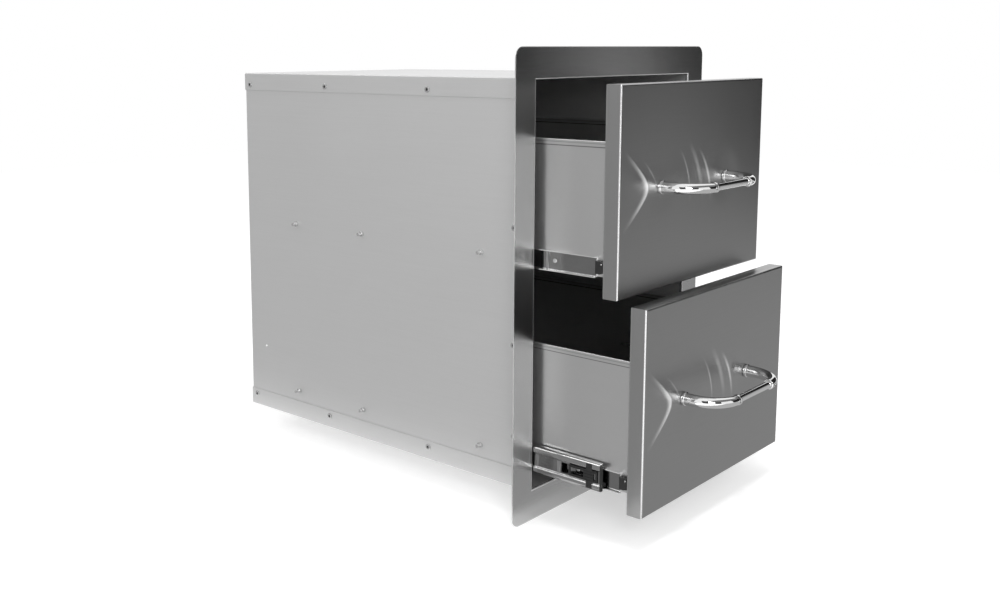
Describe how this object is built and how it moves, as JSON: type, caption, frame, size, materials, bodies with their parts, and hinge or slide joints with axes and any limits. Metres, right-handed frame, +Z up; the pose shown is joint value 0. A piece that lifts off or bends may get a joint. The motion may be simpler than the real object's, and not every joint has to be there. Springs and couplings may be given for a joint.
{
  "type": "outdoor kitchen drawer unit",
  "caption": "Built-in sheet-steel drawer unit for an outdoor kitchen island, with a face flange, an enclosed box and bow-handled drawers on telescopic ball slides.",
  "frame": {"origin": "on the flange's back face, in the middle of the flange's bottom strip, halfway up it", "axes": "+Y goes into the island, square to the flange, and the drawers open along -Y; +Z is up; +X is to the right as the drawers are faced"},
  "size_m": [0.4572, 0.7812, 0.6097],
  "materials": {
    "flange_steel": "finely brushed stainless sheet",
    "front_steel": "finely brushed stainless sheet with bright bent edges",
    "box_steel": "satin sheet",
    "tray_steel": "satin sheet",
    "slide_steel": "bright zinc plate",
    "ball_steel": "polished",
    "handle_chrome": "mirror chrome",
    "screw_steel": "bright",
    "black_plastic": "moulded, matt"
  },
  "bodies": {
    "cabinet": {"face_frame": "flange_steel", "top_panel": "box_steel", "bottom_panel": "box_steel", "left_side_panel": "box_steel", "right_side_panel": "box_steel", "back_panel": "box_steel", "upper_left_outer_member": "slide_steel", "upper_right_outer_member": "slide_steel", "lower_left_outer_member": "slide_steel", "lower_right_outer_member": "slide_steel", "upper_left_slide_screw_1": "screw_steel", "upper_left_slide_screw_2": "screw_steel", "upper_left_slide_screw_3": "screw_steel", "upper_right_slide_screw_1": "screw_steel", "upper_right_slide_screw_2": "screw_steel", "upper_right_slide_screw_3": "screw_steel", "lower_left_slide_screw_1": "screw_steel", "lower_left_slide_screw_2": "screw_steel", "lower_left_slide_screw_3": "screw_steel", "lower_right_slide_screw_1": "screw_steel", "lower_right_slide_screw_2": "screw_steel", "lower_right_slide_screw_3": "screw_steel"},
    "upper_outer_cages": {"upper_left_outer_cage": "ball_steel", "upper_right_outer_cage": "ball_steel"},
    "upper_runners": {"upper_left_middle_member": "slide_steel", "upper_right_middle_member": "slide_steel", "upper_left_end_stop": "black_plastic", "upper_right_end_stop": "black_plastic"},
    "upper_inner_cages": {"upper_left_inner_cage": "ball_steel", "upper_right_inner_cage": "ball_steel"},
    "upper_drawer": {"upper_front_panel": "front_steel", "upper_front_liner": "tray_steel", "upper_tray": "tray_steel", "upper_tray_back": "tray_steel", "upper_left_inner_member": "slide_steel", "upper_right_inner_member": "slide_steel", "upper_handle_left_elbow": "handle_chrome", "upper_handle_right_elbow": "handle_chrome", "upper_handle_rod": "handle_chrome", "upper_handle_left_screw": "screw_steel", "upper_handle_right_screw": "screw_steel"},
    "lower_outer_cages": {"lower_left_outer_cage": "ball_steel", "lower_right_outer_cage": "ball_steel"},
    "lower_runners": {"lower_left_middle_member": "slide_steel", "lower_right_middle_member": "slide_steel", "lower_left_end_stop": "black_plastic", "lower_right_end_stop": "black_plastic"},
    "lower_inner_cages": {"lower_left_inner_cage": "ball_steel", "lower_right_inner_cage": "ball_steel"},
    "lower_drawer": {"lower_front_panel": "front_steel", "lower_front_liner": "tray_steel", "lower_tray": "tray_steel", "lower_tray_back": "tray_steel", "lower_left_inner_member": "slide_steel", "lower_right_inner_member": "slide_steel", "lower_handle_left_elbow": "handle_chrome", "lower_handle_right_elbow": "handle_chrome", "lower_handle_rod": "handle_chrome", "lower_handle_left_screw": "screw_steel", "lower_handle_right_screw": "screw_steel"}
  },
  "joints": [
    {"name": "upper_runner_slide", "type": "slide", "parent": "cabinet", "child": "upper_runners", "axis": [0, -1, 0], "range_m": [0, 0.25]},
    {"name": "upper_drawer_slide", "type": "slide", "parent": "upper_runners", "child": "upper_drawer", "axis": [0, -1, 0], "range_m": [-0.12, 0.13]},
    {"name": "upper_outer_cage_slide", "type": "slide", "parent": "cabinet", "child": "upper_outer_cages", "axis": [0, -1, 0], "range_m": [0, 0.125]},
    {"name": "upper_inner_cage_slide", "type": "slide", "parent": "upper_runners", "child": "upper_inner_cages", "axis": [0, -1, 0], "range_m": [-0.06, 0.065]},
    {"name": "lower_runner_slide", "type": "slide", "parent": "cabinet", "child": "lower_runners", "axis": [0, -1, 0], "range_m": [-0.127, 0.123]},
    {"name": "lower_drawer_slide", "type": "slide", "parent": "lower_runners", "child": "lower_drawer", "axis": [0, -1, 0], "range_m": [-0.033, 0.217]},
    {"name": "lower_outer_cage_slide", "type": "slide", "parent": "cabinet", "child": "lower_outer_cages", "axis": [0, -1, 0], "range_m": [-0.0635, 0.0615]},
    {"name": "lower_inner_cage_slide", "type": "slide", "parent": "lower_runners", "child": "lower_inner_cages", "axis": [0, -1, 0], "range_m": [-0.0165, 0.1085]}
  ],
  "couplings": [
    {"joint": "upper_outer_cage_slide", "follows": "upper_runner_slide", "ratio": 0.5},
    {"joint": "upper_inner_cage_slide", "follows": "upper_drawer_slide", "ratio": 0.5},
    {"joint": "lower_outer_cage_slide", "follows": "lower_runner_slide", "ratio": 0.5},
    {"joint": "lower_inner_cage_slide", "follows": "lower_drawer_slide", "ratio": 0.5}
  ]
}
